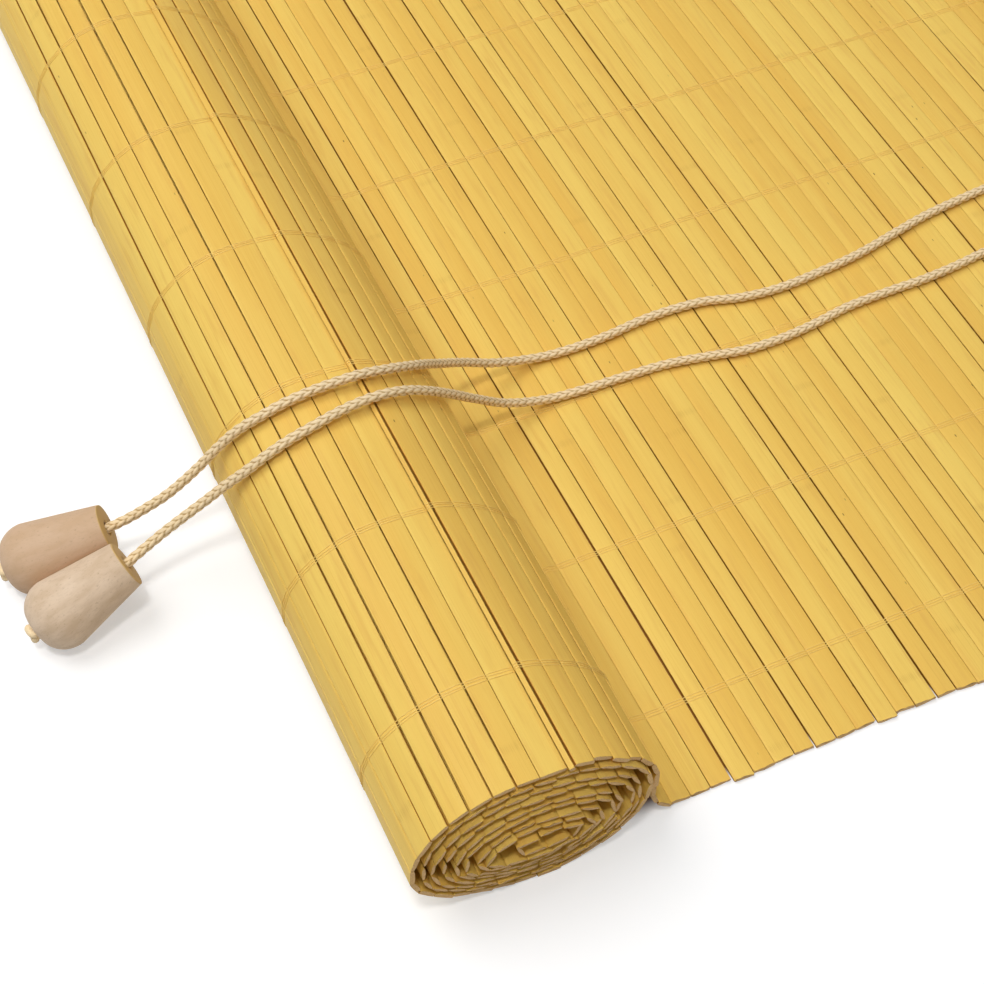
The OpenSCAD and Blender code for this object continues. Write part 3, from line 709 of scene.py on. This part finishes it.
def smooth_line(points, step):
    """Places about one step apart on a smooth line through points, straight as far as the second."""
    points = np.array(points, float)
    knots = np.concatenate([[0], np.cumsum(np.linalg.norm(np.diff(points, axis=0), axis=1))])
    slopes = np.gradient(points, knots, axis=0)
    slopes[:2] = (points[1] - points[0]) / (knots[1] - knots[0])
    slopes[-1] = (points[-1] - points[-2]) / (knots[-1] - knots[-2])
    line = []
    for i in range(len(points) - 1):
        span = knots[i + 1] - knots[i]
        t = np.linspace(0, 1, max(2, round(span / step)), endpoint=False)[:, None]
        line.append((2 * t**3 - 3 * t**2 + 1) * points[i] + (t**3 - 2 * t**2 + t) * span * slopes[i]
                    + (3 * t**2 - 2 * t**3) * points[i + 1] + (t**3 - t**2) * span * slopes[i + 1])
    return np.concatenate(line + [points[-1:]])


def add_cord(name, route, replaced):
    """A braided cord: columns of slanting stitches, raised on the tube's own mesh."""
    line = smooth_line(route, cord_step)
    length = np.concatenate([[0], np.cumsum(np.linalg.norm(np.diff(line, axis=0), axis=1))])
    around = (np.arange(cord_sides) + 0.5) / cord_sides * stitch_columns + 0.5
    column, across = np.floor(around), around % 1 - 0.5
    slant = np.where(column % 2 == 0, stitch_slant, -stitch_slant) * across + 0.5 * (column % 2)
    along = (length[:, None] / stitch_length + slant) % 1
    height = np.sin(math.pi * along) ** stitch_crown * np.cos(math.pi * across) ** column_crown
    vertices, faces = sweep(line, cord_diameter / 2 - braid_depth * (1 - height), cord_sides)
    made = add_piece(name, vertices, faces, [cotton], replaced)
    set_attribute(made, "braid", np.stack([height, np.broadcast_to(around, height.shape),
                                           np.broadcast_to(length[:, None], height.shape)], -1))
    return made, line[::path_stride], length[-1]


cord_far, far_line, far_length = add_cord("pull_cord_far", cord_far_route, ["cord_far"])
cord_near, near_line, near_length = add_cord("pull_cord_near", cord_near_route, ["cord_near"])

# Knots: each cord's ends are tied in plain overhand knots. One stops the cord behind its lift eye,
# and the other sits in the bell's recess and holds the bell on.
knot_rings = 72
knot_sides = 12
knot_twist = 9
lift_knot_strand = 2.6
bell_knot_strand = 2.4


def add_knot(name, node, thickness):
    """A closed overhand loop of twisted cord that fills a CAD knot's box."""
    low, high = node_corners(node)
    middle, half = (low + high) / 2, (high - low) / 2 - thickness / 2
    t = np.linspace(0, 2 * math.pi, knot_rings, endpoint=False)
    loop = np.stack([np.sin(3 * t), (np.sin(t) + 2 * np.sin(2 * t)) / 3,
                     (np.cos(t) - 2 * np.cos(2 * t)) / 3], -1)
    vertices, faces = sweep(middle + loop * half, thickness / 2, knot_sides, closed=True)
    made = add_piece(name, vertices, faces, [cotton], [node])
    turn = np.repeat(t[:, None], knot_sides, 1)
    around = np.arange(knot_sides)[None] * 2 * math.pi / 6
    height = 0.8 + 0.2 * np.sin(knot_twist * turn + around)
    set_attribute(made, "braid", np.stack([height, turn, turn * 3], -1))
    return made


lift_knot_near = add_knot("lift_knot_of_far_cord", "lift_knot_near", lift_knot_strand)
lift_knot_far = add_knot("lift_knot_of_near_cord", "lift_knot_far", lift_knot_strand)
bell_knot_far = add_knot("bell_knot_of_far_cord", "bell_knot_far", bell_knot_strand)
bell_knot_near = add_knot("bell_knot_of_near_cord", "bell_knot_near", bell_knot_strand)

# Bells: turned from pale bare wood, tapered to the cord's hole and rounded at the wide end, where
# the knot sits in a shallow recess. Each rests on its wide end, and its cord holds the mouth up.
bell_sides = 64
bell_length = 34
bell_top_radius = 7.7
bell_wide_radius = 11.5
bell_taper = 25
bell_flat_radius = 3.8
bell_bore_radius = 2.3
bell_recess_radius = 3.4
bell_recess = 1.5
bell_ease, bell_half_ease = 0.25, 0.07
recess_ease, bore_ease = 0.2, 0.4
taper_steps, dome_steps = 12, 16

bare_wood, turned = new_finish("bare_turned_wood")
turned_at = turned.attribute("turned")
turned_x, turned_y, turned_z = turned_at.split()
bell_painted_shade = turned.attribute("painted_shade", out="Fac")
growth = turned.noise(turned.vector(turned_x * 0.3, turned_y * 0.22, turned_z * 0.1), detail=3.0)
pores = turned.noise(turned.vector(turned_x * 2.4, turned_y * 2.4, turned_z * 0.6), detail=5.0)
tool_marks = turned.node("ShaderNodeTexWave", {"bands_direction": "Z"},
                         {"Vector": turned_at, "Scale": 0.9, "Distortion": 1.2, "Detail": 2.0}, out="Fac")
pale = growth.between(0.3, 0.75).mix(rgb(226, 203, 177), rgb(208, 182, 152))
# Painted shade: one bell is made darker and warmer than the other, as it lies in shade.
pale = (bell_painted_shade * 0.55).mix(pale, rgb(196, 156, 118))
pale = (pores.between(0.5, 0.74) * 0.3).mix(pale, rgb(186, 158, 130))
end_grain = 1 - turned_z.between(0.15, 0.5)
flecks = turned.noise(turned.vector(turned_x * 1.6, turned_y * 1.6, turned_z * 0.9 + 40), detail=6.0)
pale = (flecks.between(0.6, 0.72) * 0.4).mix(pale, rgb(168, 138, 108))
pale = end_grain.mix(pale, rgb(206, 172, 112))
set_surface(turned, Base_Color=pale, Roughness=pores * 0.2 + 0.55, Specular_IOR_Level=0.25,
            Normal=(pores + tool_marks * 0.3).bump(0.12))


def add_bell(name, node, mouth, turn, dip, painted_shade):
    """A bell turned about its bore, with its mouth over a place and dipping towards its wide end."""
    taper = [(bell_top_radius - bell_ease, 0), (bell_top_radius - bell_half_ease, bell_half_ease),
             (bell_top_radius, bell_ease)]
    taper += [(bell_top_radius + (bell_wide_radius - bell_top_radius) * k / taper_steps,
               bell_taper * k / taper_steps) for k in range(1, taper_steps)]
    dome = [(bell_flat_radius + (bell_wide_radius - bell_flat_radius) * math.cos(angle),
             bell_taper + (bell_length - bell_taper) * math.sin(angle))
            for angle in np.linspace(0, math.pi / 2, dome_steps)]
    hole = [(bell_recess_radius + recess_ease, bell_length), (bell_recess_radius, bell_length - recess_ease),
            (bell_recess_radius, bell_length - bell_recess), (bell_bore_radius, bell_length - bell_recess),
            (bell_bore_radius, bore_ease), (bell_bore_radius + bore_ease, 0)]
    profile = np.array(taper + dome + hole)
    angles = np.arange(bell_sides) * 2 * math.pi / bell_sides
    turned_form = np.stack([profile[:, :1] * np.cos(angles), profile[:, :1] * np.sin(angles),
                            np.repeat(profile[:, 1:], bell_sides, 1)], -1).reshape(-1, 3)
    dip = math.radians(dip)
    mouth_height = max(radius * math.cos(dip) + distance * math.sin(dip) for radius, distance in profile)
    lean = (Matrix.Translation((*mouth, mouth_height)) @ Matrix.Rotation(math.radians(turn), 4, "Z")
            @ Matrix.Rotation(math.pi / 2 + dip, 4, "Y"))
    placed = [lean @ Vector(point) for point in turned_form]
    faces = ring_faces(len(profile), bell_sides, closed=True)
    made = add_piece(name, placed, faces, [bare_wood], [node])
    set_attribute(made, "turned", turned_form)
    set_attribute(made, "painted_shade", np.full_like(turned_form, painted_shade))
    return made


# The last value is how much painted shade darkens and warms each bell; the far one lies in shade.
bell_far = add_bell("bell_of_far_cord", "bell_far", (148.6, -273.3), turn=-99, dip=17, painted_shade=1.0)
bell_near = add_bell("bell_of_near_cord", "bell_near", (165.1, -272.4), turn=-83.5, dip=21.5, painted_shade=0.1)
